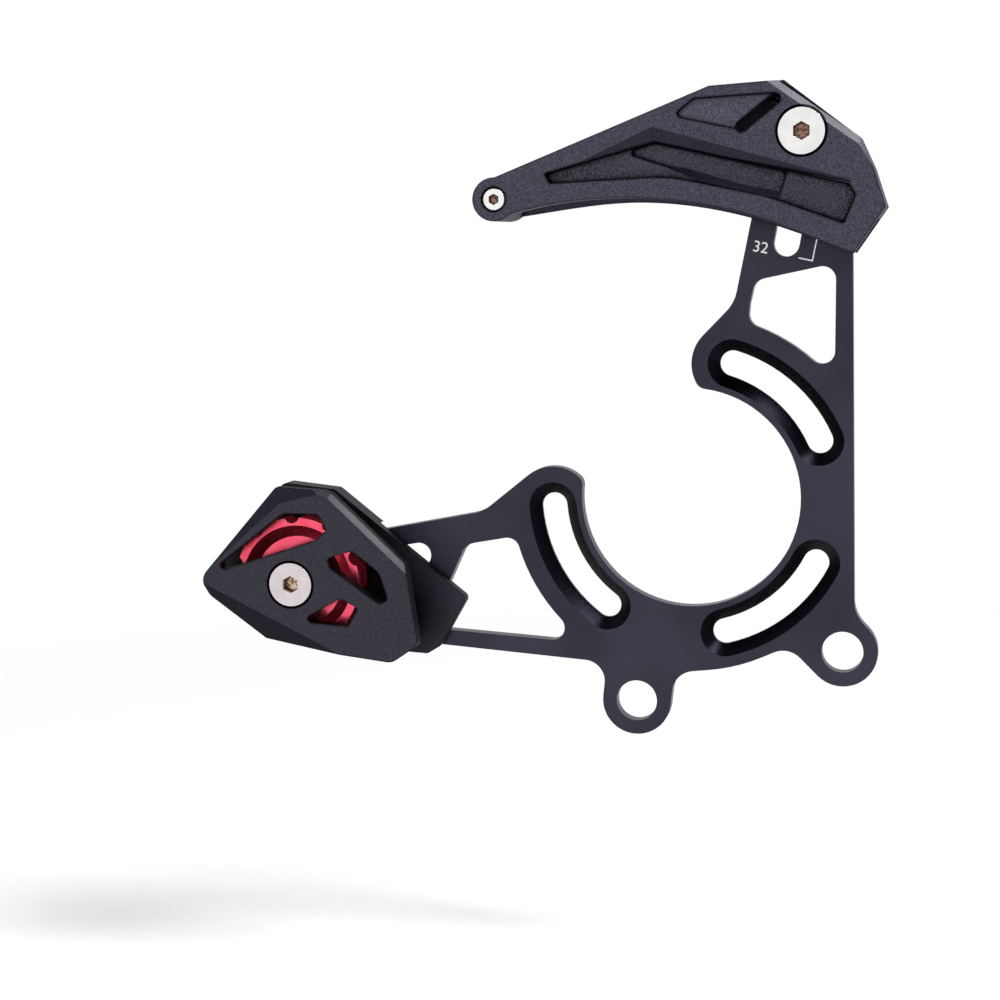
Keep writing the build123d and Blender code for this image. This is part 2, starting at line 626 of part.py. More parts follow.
# Pulley between the covers, dished on both sides, with a raised hub for the bearing
pulley_front = pulley_middle + pulley_width / 2
bearing_front = pulley_middle + bearing_width / 2
bearing_bore_radius = bolt_radius + bearing_fit
inner_ring_radius = bearing_bore_radius + bearing_ring_wall
outer_ring_inner_radius = bearing_radius - bearing_ring_wall
ball_circle_radius = (bearing_bore_radius + bearing_radius) / 2
scallop_circle = pulley_valley_radius + pulley_scallop_radius

with BuildPart() as pulley:
    with BuildSketch(layer(pulley_front - pulley_width, roller_bolt_place)):
        Circle(pulley_radius)
        with PolarLocations(scallop_circle, pulley_lobes, pulley_lobe_angle + 180 / pulley_lobes):
            Circle(pulley_scallop_radius, mode=Mode.SUBTRACT)
    extrude(amount=pulley_width)
    dish = [(0, 0), (pulley_dish_radii[0], 0), (pulley_dish_radii[1], pulley_dish_depth), (0, pulley_dish_depth)]
    add(turned(dish, pulley_front, roller_bolt_place), mode=Mode.SUBTRACT)
    back_dish = [(r, pulley_width - depth) for r, depth in dish]
    add(turned(back_dish, pulley_front, roller_bolt_place), mode=Mode.SUBTRACT)
    add(tube(bearing_radius + pulley_hub_wall, bearing_radius - pulley_bore_lip, bearing_width, bearing_front,
             roller_bolt_place))
    with Locations(layer(pulley_front, roller_bolt_place)):
        Hole(bearing_radius + seat_clearance)
pulley.part.label = "pulley"
export_step(pulley.part, "parts/pulley.step")


def ball_groove(front, centre):
    """Ring groove that the balls run in, a little wider than the balls."""
    side = Plane(origin=(centre[0], -front, centre[1]), x_dir=(1, 0, 0), z_dir=(0, 0, 1))
    with BuildPart() as groove:
        with BuildSketch(side):
            with Locations((ball_circle_radius, 0)):
                RegularPolygon(ball_radius + slide_gap, ball_sides)
        revolve(axis=Axis(side.origin, (0, 1, 0)))
    return groove.part


shield_radius = outer_ring_inner_radius + shield_seat_depth

with BuildPart() as bearing_outer_ring:
    add(tube(bearing_radius, outer_ring_inner_radius, bearing_width, bearing_front, roller_bolt_place))
    add(ball_groove(pulley_middle, roller_bolt_place), mode=Mode.SUBTRACT)
    for front in (bearing_front, bearing_front - bearing_width + shield_thickness):
        add(tube(shield_radius + seat_clearance, 1, shield_thickness, front, roller_bolt_place), mode=Mode.SUBTRACT)
bearing_outer_ring.part.label = "bearing_outer_ring"
export_step(bearing_outer_ring.part, "parts/bearing_outer_ring.step")

with BuildPart() as bearing_inner_ring:
    add(tube(inner_ring_radius, bearing_bore_radius, bearing_width, bearing_front, roller_bolt_place))
    add(ball_groove(pulley_middle, roller_bolt_place), mode=Mode.SUBTRACT)
bearing_inner_ring.part.label = "bearing_inner_ring"
export_step(bearing_inner_ring.part, "parts/bearing_inner_ring.step")

ball_profile = [polar(ball_radius, 360 / ball_sides * i - 90) for i in range(ball_sides // 2 + 1)]
with BuildPart() as bearing_balls:
    for i in range(ball_count):
        ball_place = polar(ball_circle_radius, 360 / ball_count * i, roller_bolt_place)
        add(turned(ball_profile, pulley_middle, ball_place))
bearing_balls.part.label = "bearing_balls"
export_step(bearing_balls.part, "parts/bearing_balls.step")

shield_bore = inner_ring_radius + shield_gap
with BuildPart() as bearing_shield_front:
    add(tube(shield_radius, shield_bore, shield_thickness, bearing_front, roller_bolt_place))
bearing_shield_front.part.label = "bearing_shield_front"
export_step(bearing_shield_front.part, "parts/bearing_shield_front.step")

with BuildPart() as bearing_shield_rear:
    rear = bearing_front - bearing_width + shield_thickness
    add(tube(shield_radius, shield_bore, shield_thickness, rear, roller_bolt_place))
bearing_shield_rear.part.label = "bearing_shield_rear"
export_step(bearing_shield_rear.part, "parts/bearing_shield_rear.step")

spacer_radius = inner_ring_radius - spacer_setback
with BuildPart() as roller_spacer_front:
    add(tube(spacer_radius, bolt_radius + bore_clearance, outer_cover_back - bearing_front, outer_cover_back,
             roller_bolt_place))
roller_spacer_front.part.label = "roller_spacer_front"
export_step(roller_spacer_front.part, "parts/roller_spacer_front.step")

with BuildPart() as roller_spacer_rear:
    add(tube(spacer_radius, bolt_radius + bore_clearance, bearing_front - bearing_width - inner_cover_front,
             bearing_front - bearing_width, roller_bolt_place))
roller_spacer_rear.part.label = "roller_spacer_rear"
export_step(roller_spacer_rear.part, "parts/roller_spacer_rear.step")
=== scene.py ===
"""Looks of a bicycle chain guide: black plate, moulded guide and roller cage, steel bolts, red pulley."""
from math import radians

import bpy
from mathutils import Euler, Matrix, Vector


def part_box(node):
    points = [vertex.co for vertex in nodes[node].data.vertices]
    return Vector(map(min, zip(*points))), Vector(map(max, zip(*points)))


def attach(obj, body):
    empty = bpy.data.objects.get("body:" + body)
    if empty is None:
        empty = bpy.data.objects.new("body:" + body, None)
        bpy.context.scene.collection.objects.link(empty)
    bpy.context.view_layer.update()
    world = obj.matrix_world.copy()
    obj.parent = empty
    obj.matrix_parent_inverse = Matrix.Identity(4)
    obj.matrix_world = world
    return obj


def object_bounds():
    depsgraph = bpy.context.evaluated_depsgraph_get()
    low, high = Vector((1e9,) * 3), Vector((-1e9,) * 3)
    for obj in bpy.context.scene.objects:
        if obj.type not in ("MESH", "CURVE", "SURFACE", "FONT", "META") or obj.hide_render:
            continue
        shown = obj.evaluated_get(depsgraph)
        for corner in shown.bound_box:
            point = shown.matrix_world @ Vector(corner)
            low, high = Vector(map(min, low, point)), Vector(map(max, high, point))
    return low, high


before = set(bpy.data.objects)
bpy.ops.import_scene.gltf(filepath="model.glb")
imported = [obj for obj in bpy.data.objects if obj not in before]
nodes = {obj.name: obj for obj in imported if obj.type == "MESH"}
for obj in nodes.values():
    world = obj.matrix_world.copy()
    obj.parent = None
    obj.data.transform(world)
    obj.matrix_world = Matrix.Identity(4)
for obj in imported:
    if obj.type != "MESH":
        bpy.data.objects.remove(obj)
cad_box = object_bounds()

mm = 0.001

# Back plate
# A 4 mm aluminium plate, cut and bevelled on a mill, bead blasted and anodised black.
# It carries the guide and the roller cage in its two slotted arms.


def put(tree, kind, inputs=None, **settings):
    """Adds a shader node; inputs gives its sockets, by name or number, a value or an output."""
    made = tree.nodes.new(kind)
    for name, value in settings.items():
        setattr(made, name, value)
    for socket, value in (inputs or {}).items():
        if isinstance(value, bpy.types.NodeSocket):
            tree.links.new(value, made.inputs[socket])
        else:
            made.inputs[socket].default_value = value
    return made


def effect(name, inputs, outputs):
    """Starts a shader node group; returns its tree, what it is given and what it puts out."""
    tree = bpy.data.node_groups.new(name, "ShaderNodeTree")
    for socket, kind in inputs.items():
        tree.interface.new_socket(socket, in_out="INPUT", socket_type="NodeSocket" + kind)
    for socket, kind in outputs.items():
        tree.interface.new_socket(socket, in_out="OUTPUT", socket_type="NodeSocket" + kind)
    return tree, tree.nodes.new("NodeGroupInput").outputs, tree.nodes.new("NodeGroupOutput").inputs


# The sockets of a Mix node that hold its two colours and its result
mix_first, mix_second, mix_result = 6, 7, 2


def blend(tree, share, first, second):
    """Colour between two colours or outputs, by a share from 0 to 1."""
    made = put(tree, "ShaderNodeMix", {0: share}, data_type="RGBA", clamp_factor=True)
    for socket, value in ((mix_first, first), (mix_second, second)):
        if isinstance(value, bpy.types.NodeSocket):
            tree.links.new(value, made.inputs[socket])
        else:
            made.inputs[socket].default_value = (*value, 1)
    return made.outputs[mix_result]


def ramp(tree, value, low, high, start=0.0, end=1.0):
    """Value mapped from the range low to high onto start to end, held at both ends."""
    made = put(tree, "ShaderNodeMapRange", {"Value": value, "From Min": low, "From Max": high,
                                            "To Min": start, "To Max": end}, clamp=True)
    return made.outputs["Result"]


def reckon(tree, operation, first, second):
    """Result of one sum on two values or outputs."""
    return put(tree, "ShaderNodeMath", {0: first, 1: second}, operation=operation).outputs[0]


def noise(tree, scale, detail=2.0, roughness=0.5):
    """Even noise over the whole part, with about this many grains to the metre."""
    place = put(tree, "ShaderNodeTexCoord").outputs["Object"]
    return put(tree, "ShaderNodeTexNoise", {"Vector": place, "Scale": scale, "Detail": detail,
                                            "Roughness": roughness}).outputs["Fac"]


# Grain of a blasted or spark-eroded surface: a height, a light and dark speckle, and wide patches.
# Each pair of numbers is where a mask starts and where it is full.
speckle_span = 0.44, 0.64
patch_span = 0.35, 0.65
grain, given, out = effect("surface_grain", {"Size": "Float", "Patch Size": "Float"},
                           {"Height": "Float", "Speckle": "Float", "Patch": "Float"})
sand = noise(grain, reckon(grain, "DIVIDE", 1.0, given["Size"]), detail=3.0, roughness=0.65)
cloud = noise(grain, reckon(grain, "DIVIDE", 1.0, given["Patch Size"]))
grain.links.new(sand, out["Height"])
grain.links.new(ramp(grain, sand, *speckle_span), out["Speckle"])
grain.links.new(ramp(grain, cloud, *patch_span), out["Patch"])

# Rounded edge: a normal that softens each corner, masks of square and worn corners, and painted shade in
# creases.
# A turn is the cosine between a face and the softened normal, and air is the open share round a point.
corner_turn = 0.94, 0.82
worn_turn = 0.985, 0.88
worn_air = 0.80, 0.97
worn_spots = 0.42, 0.62
crease_shade_air = 0.93, 0.62
edge, given, out = effect("rounded_edge", {"Radius": "Float", "Wear Size": "Float", "Crease": "Float"},
                          {"Normal": "Vector", "Corner": "Float", "Wear": "Float", "Crease": "Float"})
soft = put(edge, "ShaderNodeBevel", {"Radius": given["Radius"]}, samples=6).outputs["Normal"]
flat = put(edge, "ShaderNodeNewGeometry").outputs["Normal"]
turn = put(edge, "ShaderNodeVectorMath", {0: soft, 1: flat}, operation="DOT_PRODUCT").outputs["Value"]
air = put(edge, "ShaderNodeAmbientOcclusion", {"Distance": given["Crease"]}, samples=8).outputs["AO"]
outer = reckon(edge, "MULTIPLY", ramp(edge, turn, *worn_turn), ramp(edge, air, *worn_air))
rubbed = ramp(edge, noise(edge, reckon(edge, "DIVIDE", 1.0, given["Wear Size"])), *worn_spots)
edge.links.new(soft, out["Normal"])
edge.links.new(ramp(edge, turn, *corner_turn), out["Corner"])
edge.links.new(reckon(edge, "MULTIPLY", outer, rubbed), out["Wear"])
# The crease mask is painted shade: it grows where the part is closed in round a point.
edge.links.new(ramp(edge, air, *crease_shade_air), out["Crease"])

# Tilted faces: a mask of the faces that lean from the front by between two angles, given as cosines.
tilt, given, out = effect("tilted_faces", {"Flattest": "Float", "Steepest": "Float"}, {"Mask": "Float"})
normal = put(tilt, "ShaderNodeNewGeometry").outputs["True Normal"]
lean = reckon(tilt, "MULTIPLY", put(tilt, "ShaderNodeSeparateXYZ", {0: normal}).outputs["Y"], -1.0)
leaning = reckon(tilt, "LESS_THAN", lean, given["Flattest"])
facing = reckon(tilt, "GREATER_THAN", lean, given["Steepest"])
tilt.links.new(reckon(tilt, "MULTIPLY", leaning, facing), out["Mask"])


def tilted(tree, flattest, steepest):
    """Mask of the faces that lean from the front by between two angles, given as cosines."""
    leans = {"Flattest": flattest, "Steepest": steepest}
    return put(tree, "ShaderNodeGroup", leans, node_tree=tilt).outputs["Mask"]


def surface(name, colour, edge_radius, wear_size, crease, grain_size, patch_size, **principled):
    """Starts a material; returns it, its tree, its shader and the outputs of its edges and its grain."""
    material = bpy.data.materials.new(name)
    material.use_nodes = True
    tree = material.node_tree
    shader = tree.nodes["Principled BSDF"]
    shader.inputs["Base Color"].default_value = (*colour, 1)
    for socket, value in principled.items():
        shader.inputs[socket.replace("_", " ")].default_value = value
    edge_sizes = {"Radius": edge_radius, "Wear Size": wear_size, "Crease": crease}
    edges = put(tree, "ShaderNodeGroup", edge_sizes, node_tree=edge).outputs
    grain_sizes = {"Size": grain_size, "Patch Size": patch_size}
    grains = put(tree, "ShaderNodeGroup", grain_sizes, node_tree=grain).outputs
    return material, tree, shader, edges, grains


def roughen(tree, shader, edges, height, depth):
    """Feeds a height, over the rounded edges, to the shader's normal."""
    bump = put(tree, "ShaderNodeBump", {"Height": height, "Distance": depth, "Strength": 1.0,
                                        "Normal": edges["Normal"]})
    tree.links.new(bump.outputs["Normal"], shader.inputs["Normal"])


def dress(names, material):
    """Gives parts of the frame a finish."""
    for name in names:
        for slot in nodes[name].material_slots:
            slot.material = material


# A satin, matte or sheen, here and below, is the least and the most roughness
plate_black = (0.0060, 0.0048, 0.0170)
plate_pale = (0.0200, 0.0175, 0.0360)
plate_bare = (0.075, 0.070, 0.090)
# Painted shade colour for the plate's creases
plate_crease_shade = (0.0040, 0.0035, 0.0070)
plate_speck = 0.6
plate_satin = 0.34, 0.42
plate_blast = 0.045 * mm
# Painted shade colour for the bevels
bevel_painted_dark = (0.006, 0.005, 0.008)
bevel_lean = 0.93, 0.50
bevel_polish = 0.12
plate_finish, tree, shader, edges, grains = surface(
    "plate_anodised", plate_black, edge_radius=0.10 * mm, wear_size=3 * mm, crease=1.2 * mm,
    grain_size=0.36 * mm, patch_size=26 * mm, Specular_IOR_Level=0.32)
shade = blend(tree, grains["Patch"], plate_black, plate_pale)
shade = blend(tree, reckon(tree, "MULTIPLY", grains["Speckle"], plate_speck), shade, plate_pale)
# Painted shade darkens the plate in its creases.
shade = blend(tree, edges["Crease"], shade, plate_crease_shade)
shade = blend(tree, edges["Wear"], shade, plate_bare)
# Painted shade: bevels turn dark and metallic by their lean; their lower roughness is the mill's finish.
bevels = tilted(tree, *bevel_lean)
tree.links.new(blend(tree, bevels, shade, bevel_painted_dark), shader.inputs["Base Color"])
tree.links.new(bevels, shader.inputs["Metallic"])
satin = ramp(tree, grains["Patch"], 0, 1, *plate_satin)
polish = reckon(tree, "MULTIPLY", bevels, bevel_polish)
tree.links.new(reckon(tree, "SUBTRACT", satin, polish), shader.inputs["Roughness"])
roughen(tree, shader, edges, grains["Height"], plate_blast)
dress(["back_plate"], plate_finish)

# Bracket mark and plain number beside the guide's slot
# White ink, pad printed on the anodised face of the plate.
# The bracket shows where the guide sits for the smallest chainring, and the number is its teeth.

plate_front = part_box("back_plate")[0].y
ink_height = 0.03 * mm
ink_width = 0.33 * mm
bracket = [Vector((28.4, 61.5)) * mm, Vector((31.9, 60.7)) * mm, Vector((33.1, 66.3)) * mm]


def bent_line(name, points, width):
    """Thin flat printed line through three points of the plate's front face."""
    first, second = [(b - a).normalized() for a, b in zip(points, points[1:])]
    sides = [Vector((-way.y, way.x)) for way in (first, second)]
    mitre = (sides[0] + sides[1]) / (1 + sides[0].dot(sides[1]))
    across = [sides[0], mitre, sides[1]]
    corners = [p + s * a * width / 2 for p, a in zip(points, across) for s in (1, -1)]
    rows = [(x, plate_front - h, z) for h in (0, ink_height) for x, z in corners]
    count = len(corners)
    faces = [(0, 1, count + 1, count), (count - 2, 2 * count - 2, 2 * count - 1, count - 1)]
    for low in (0, 2):
        top = count + low
        faces += [(low, low + 2, low + 3, low + 1), (top, top + 1, top + 3, top + 2),
                  (low, top, top + 2, low + 2), (low + 1, low + 3, top + 3, top + 1)]
    mesh = bpy.data.meshes.new(name)
    mesh.from_pydata(rows, [], faces)
    piece = bpy.data.objects.new(name, mesh)
    bpy.context.scene.collection.objects.link(piece)
    return piece


ink_white = (0.92, 0.92, 0.92)
ink_thin = (0.82, 0.82, 0.84)
ink_sheen = 0.5, 0.65
ink_grain = 0.004 * mm
ink, tree, shader, edges, grains = surface(
    "white_ink", ink_white, edge_radius=0.01 * mm, wear_size=1 * mm, crease=0.05 * mm,
    grain_size=0.2 * mm, patch_size=2 * mm)
tree.links.new(blend(tree, grains["Speckle"], ink_white, ink_thin), shader.inputs["Base Color"])
tree.links.new(ramp(tree, grains["Patch"], 0, 1, *ink_sheen), shader.inputs["Roughness"])
roughen(tree, shader, edges, grains["Height"], ink_grain)

setting_mark = bent_line("setting_mark", bracket, ink_width)
setting_mark.data.materials.append(ink)
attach(setting_mark, "back_plate")

number_height = 2.95 * mm
numeral_share = 0.73  # a numeral's height in a font of size 1
number_spread = 0.01 * mm
number_middle = (18.8 * mm, 64.3 * mm)
number_lean = radians(-11.2)
font = bpy.data.curves.new("number_outline", "FONT")
font.body = "32"
font.size = number_height / numeral_share
font.align_x = "CENTER"
font.align_y = "CENTER"
font.extrude = ink_height / 2
font.offset = number_spread
outline = bpy.data.objects.new("number_outline", font)
bpy.context.scene.collection.objects.link(outline)
bpy.context.view_layer.update()
number_mesh = bpy.data.meshes.new_from_object(outline)
bpy.data.objects.remove(outline)
setting_number = bpy.data.objects.new("setting_number", number_mesh)
setting_number.location = (number_middle[0], plate_front - ink_height / 2, number_middle[1])
setting_number.rotation_euler = (radians(90), 0, 0)
setting_number.rotation_euler.rotate_axis("Z", number_lean)
bpy.context.scene.collection.objects.link(setting_number)
number_mesh.materials.clear()
number_mesh.materials.append(ink)
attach(setting_number, "back_plate")

# Upper guide, two halves
# Glass-filled nylon, moulded with a spark-eroded grain and left matte; the panel is finished coarser
# and the sloping facets calmer. Facets, pockets and corners carry painted shade. The halves close on each
# other round the chain.

guide_tones = (0.0030, 0.0018, 0.0110), (0.0880, 0.0800, 0.1260)
# Facet tones: a calmer grain, made dark by a metallic below as painted shade
guide_facet_shade = (0.0200, 0.0180, 0.0290), (0.0430, 0.0390, 0.0580)
panel_tones = (0.014, 0.012, 0.026), (0.125, 0.114, 0.170)
panel_step = 0.6 * mm
panel_fade = 0.2 * mm
# Painted shade in the pockets: a near-black ground with a pale speckle of the grain
pocket_shade_tones = (0.0010, 0.0008, 0.0020), (0.0950, 0.0880, 0.1200)
pocket_shade_reach = 7 * mm

moulded_bare = (0.045, 0.042, 0.055)
# Painted shade colour for hollows, side walls, corner lines and the ring round the bolt
moulded_shade_dark = (0.0015, 0.0013, 0.0020)
moulded_matte = 0.38, 0.46
moulded_grain = 0.21 * mm
moulded_patch = 20 * mm
spark_depth = 0.06 * mm
coarse_grain = 0.36 * mm
facet_lean = 0.97, 0.85
wall_lean = 0.30, -0.30
wall_rough = 0.28
calm_lean = 0.80, 0.60
calm_share = 0.25

# Painted shade: a dark line along square corners, and a painted shadow in the gap round the bolt's head
line_radius = 1.1 * mm
corner_shade = 0.9
rim_width = 0.85 * mm
rim_core = 0.6 * mm

# Round axis: how far a point lies from the axis through a centre, and how deep behind that centre.
axis, given, out = effect("round_axis", {"Centre": "Vector"}, {"Reach": "Float", "Depth": "Float"})
place = put(axis, "ShaderNodeTexCoord").outputs["Object"]
centred = put(axis, "ShaderNodeVectorMath", {0: place, 1: given["Centre"]}, operation="SUBTRACT").outputs[0]
across = put(axis, "ShaderNodeVectorMath", {0: centred, 1: (1, 0, 1)}, operation="MULTIPLY").outputs[0]
reach = put(axis, "ShaderNodeVectorMath", {0: across}, operation="LENGTH").outputs["Value"]
axis.links.new(reach, out["Reach"])
axis.links.new(put(axis, "ShaderNodeSeparateXYZ", {0: centred}).outputs["Y"], out["Depth"])


def on_axis(node, depth=0.0):
    """Point on a round part's axis, at this depth in the frame."""
    low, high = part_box(node)
    return (low.x + high.x) / 2, depth, (low.z + high.z) / 2


def bolt_gap_shadow(tree, bolt):
    """Mask of the painted shadow ring in the gap where the moulding meets a bolt's head."""
    low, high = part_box(bolt)
    radius = (high.x - low.x) / 2
    reach = put(tree, "ShaderNodeGroup", {"Centre": on_axis(bolt)}, node_tree=axis).outputs["Reach"]
    return ramp(tree, reach, radius + rim_width, radius + rim_core)


def faces_at(tree, depth):
    """Mask of the faces that lie at one depth in the frame."""
    place = put(tree, "ShaderNodeTexCoord").outputs["Object"]
    found = put(tree, "ShaderNodeSeparateXYZ", {0: place}).outputs["Y"]
    return reckon(tree, "MULTIPLY", ramp(tree, found, depth - panel_fade, depth),
                  ramp(tree, found, depth + panel_fade, depth))


def strongest(tree, mask, *others):
    """Highest of several masks."""
    for other in others:
        mask = reckon(tree, "MAXIMUM", mask, other)
    return mask


def moulding(name, tones, facet_shade_tones, panel_depth, bolt, hollow_shade_tones, hollow_shade_reach, hollow_shade_dull,
             wall_painted_shade):
    """Black moulded finish in two tones, with calmer facets, a calmer grain on steep slopes and painted
    shade.

    The coarser panel lies at one depth in the frame, or is None. A hollow gets painted shade: its own two
    tones, the reach within which its walls darken it, and a painted dullness; the side walls get painted
    shade by a share.
    """
    material, tree, shader, edges, grains = surface(
        name, tones[0], edge_radius=0.30 * mm, wear_size=4 * mm, crease=1.4 * mm,
        grain_size=moulded_grain, patch_size=moulded_patch, Specular_IOR_Level=0.34)
    shade = blend(tree, grains["Speckle"], *tones)
    if panel_depth is not None:
        panel = blend(tree, grains["Speckle"], *panel_tones)
        shade = blend(tree, faces_at(tree, panel_depth), shade, panel)
    # Facets take calmer tones; the dark metallic below makes them painted shade.
    facet = tilted(tree, *facet_lean)
    shade = blend(tree, facet, shade, blend(tree, grains["Speckle"], *facet_shade_tones))
    shade = blend(tree, edges["Wear"], shade, moulded_bare)

    # Painted shade in hollows: within a reach of their walls they take their own dark tones.
    hollow_shade_sizes = {"Radius": line_radius, "Crease": hollow_shade_reach}
    hollow_shade = put(tree, "ShaderNodeGroup", hollow_shade_sizes, node_tree=edge).outputs
    coarse_sizes = {"Size": coarse_grain, "Patch Size": moulded_patch}
    coarse = put(tree, "ShaderNodeGroup", coarse_sizes, node_tree=grain).outputs
    shade = blend(tree, hollow_shade["Crease"], shade, blend(tree, coarse["Speckle"], *hollow_shade_tones))

    # Painted shade on the side walls, a share for each moulding; the walls are rougher too.
    sides = tilted(tree, *wall_lean)
    shaded_walls = reckon(tree, "MULTIPLY", sides, wall_painted_shade)
    shade = blend(tree, shaded_walls, shade, moulded_shade_dark)
    # Painted shade along corners, in the gap round the bolt and in creases
    shade_line = reckon(tree, "MULTIPLY", hollow_shade["Corner"], corner_shade)
    shaded = strongest(tree, edges["Crease"], bolt_gap_shadow(tree, bolt), shade_line)
    tree.links.new(blend(tree, shaded, shade, moulded_shade_dark), shader.inputs["Base Color"])

    # Painted shade through the metallic too: facets, corners, walls and hollows become dark metal.
    dulled_shade = reckon(tree, "MULTIPLY", hollow_shade["Crease"], hollow_shade_dull)
    tree.links.new(strongest(tree, facet, shaded, shaded_walls, dulled_shade), shader.inputs["Metallic"])
    matte = ramp(tree, grains["Patch"], 0, 1, *moulded_matte)
    rough = reckon(tree, "MULTIPLY", sides, wall_rough)
    tree.links.new(reckon(tree, "ADD", matte, rough), shader.inputs["Roughness"])
    calm = ramp(tree, tilted(tree, *calm_lean), 0, 1, 1.0, calm_share)
    roughen(tree, shader, edges, reckon(tree, "MULTIPLY", grains["Height"], calm), spark_depth)
    return material


guide_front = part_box("upper_guide_outer")[0].y
guide_finish = moulding(
    "guide_moulding", guide_tones, guide_facet_shade, panel_depth=guide_front + panel_step,
    bolt="upper_guide_bolt", hollow_shade_tones=pocket_shade_tones, hollow_shade_reach=pocket_shade_reach, hollow_shade_dull=0.5,
    wall_painted_shade=0.0)
dress(["upper_guide_outer", "upper_guide_inner"], guide_finish)

# Bolts, washers and nuts
# The bolts are stainless steel, turned and polished, and their hexagon sockets turn brown towards the
# bottom.
# Zinc plated nuts hold two of them in the plate's slots and the third in the nose of the guide.

steel_clean = (0.88, 0.87, 0.86), (0.80, 0.79, 0.78)
steel_warm = (0.70, 0.64, 0.655), (0.63, 0.575, 0.59)
steel_sheen = 0.2, 0.34
zinc_grey = (0.50, 0.51, 0.54), (0.38, 0.39, 0.42)
brass_socket_tone = (0.66, 0.49, 0.34)
brown_socket_tone = (0.30, 0.18, 0.14)
# Colour for dirt spots and for painted shade in the socket's creases
socket_dirt_and_shade = (0.06, 0.030, 0.020)
socket_radius = 2.6 * mm
socket_core = 2.3 * mm
key_depth = 2.6 * mm
tip_key_depth = 1.4 * mm
socket_tone_starts = 0.2, 0.9  # in socket depths, as the next pair
socket_tone_ends = 1.5, 1.3
dirt_scale = 1300.0
dirt_spots = 0.46, 0.56
dirt_share = 0.8
ring_depth = 0.004 * mm

# Lathe rings: fine grooves round the axis through a centre, as a height.
lathe, given, out = effect("lathe_rings", {"Centre": "Vector", "Scale": "Float", "Wander": "Float"},
                           {"Height": "Float"})
place = put(lathe, "ShaderNodeTexCoord").outputs["Object"]
centred = put(lathe, "ShaderNodeVectorMath", {0: place, 1: given["Centre"]},
              operation="SUBTRACT").outputs[0]
wave = put(lathe, "ShaderNodeTexWave", {"Vector": centred, "Scale": given["Scale"],
                                        "Distortion": given["Wander"], "Detail": 1.0},
           wave_type="RINGS", rings_direction="Y")
lathe.links.new(wave.outputs["Fac"], out["Height"])


def turned_steel(name, node, socket_depth, steel, socket_tone):
    """Steel with lathe rings round one part's axis, brown towards the bottom of its socket."""
    centre = on_axis(node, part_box(node)[0].y)
    material, tree, shader, edges, grains = surface(
        name, steel[0], edge_radius=0.08 * mm, wear_size=2 * mm, crease=0.9 * mm,
        grain_size=0.25 * mm, patch_size=3 * mm, Metallic=1.0)
    spot = put(tree, "ShaderNodeGroup", {"Centre": centre}, node_tree=axis).outputs
    inside = ramp(tree, spot["Reach"], socket_radius, socket_core)
    starts = ramp(tree, spot["Depth"], *(socket_depth * share for share in socket_tone_starts))
    ends = ramp(tree, spot["Depth"], *(socket_depth * share for share in socket_tone_ends))
    socket_bottom = reckon(tree, "MULTIPLY", inside, reckon(tree, "MULTIPLY", starts, ends))
    # Dirt spots, and painted shade in the creases, darken the socket's brown.
    dirt = ramp(tree, noise(tree, dirt_scale), *dirt_spots, 0.0, dirt_share)
    deep = blend(tree, strongest(tree, dirt, edges["Crease"]), socket_tone, socket_dirt_and_shade)
    shade = blend(tree, grains["Patch"], *steel)
    tree.links.new(blend(tree, socket_bottom, shade, deep), shader.inputs["Base Color"])
    tree.links.new(ramp(tree, grains["Speckle"], 0, 1, *steel_sheen), shader.inputs["Roughness"])
    grooves = {"Centre": centre, "Scale": 900.0, "Wander": 0.4}
    rings = put(tree, "ShaderNodeGroup", grooves, node_tree=lathe).outputs["Height"]
    roughen(tree, shader, edges, rings, ring_depth)
    return material


for bolt, steel_name, depth, steel, socket_bottom in (
        ("upper_guide_bolt", "guide_bolt_steel", key_depth, steel_clean, brown_socket_tone),
        ("roller_bolt", "roller_bolt_steel", key_depth, steel_warm, brass_socket_tone),
        ("guide_tip_bolt", "tip_bolt_steel", tip_key_depth, steel_clean, brown_socket_tone)):
    dress([bolt], turned_steel(steel_name, bolt, depth, steel, socket_bottom))
for nut, clamped in (("upper_guide_nut", ["upper_guide_washer"]), ("roller_nut", ["roller_washer"]),
                     ("guide_tip_nut", [])):
    dress([nut, *clamped], turned_steel(nut + "_zinc", nut, key_depth, zinc_grey, brown_socket_tone))

# Roller cage covers
# Nylon mouldings with the same grain as the guide; the outer one is cut away in three windows
# over the pulley and the inner one has a skirt behind it.

# Between the covers, hollows take the painted shade colour in both tones.
cover_looks = {
    "tones": ((0.0014, 0.0004, 0.0060), (0.0330, 0.0280, 0.0500)),
    "facet_shade_tones": ((0.0100, 0.0090, 0.0140), (0.0240, 0.0215, 0.0300)),
    "panel_depth": None,
    "bolt": "roller_bolt",
    "hollow_shade_tones": (moulded_shade_dark, moulded_shade_dark),
    "hollow_shade_reach": 16 * mm,
    "hollow_shade_dull": 0.9,
}
dress(["roller_cover_outer"], moulding("cover_moulding", wall_painted_shade=0.85, **cover_looks))
dress(["roller_cover_inner"], moulding("skirt_moulding", wall_painted_shade=0.20, **cover_looks))

# Pulley
# Aluminium, turned with a dish on each side, scalloped round its edge and anodised bright red.
# It is pressed on the ball bearing.

pulley_bright = (0.98, 0.125, 0.205)
pulley_deep = (0.93, 0.075, 0.135)
# Painted shade colour for the sloping faces
pulley_slope_shade = (0.97, 0.055, 0.110)
pulley_bare = (0.90, 0.30, 0.35)
slope_lean = 0.97, -0.97
pulley_sheen = 0.18, 0.28
pulley_finish, tree, shader, edges, grains = surface(
    "pulley_anodised", pulley_bright, edge_radius=0.12 * mm, wear_size=2 * mm, crease=1.0 * mm,
    grain_size=0.2 * mm, patch_size=6 * mm, Metallic=0.93)
shade = blend(tree, grains["Patch"], pulley_bright, pulley_deep)
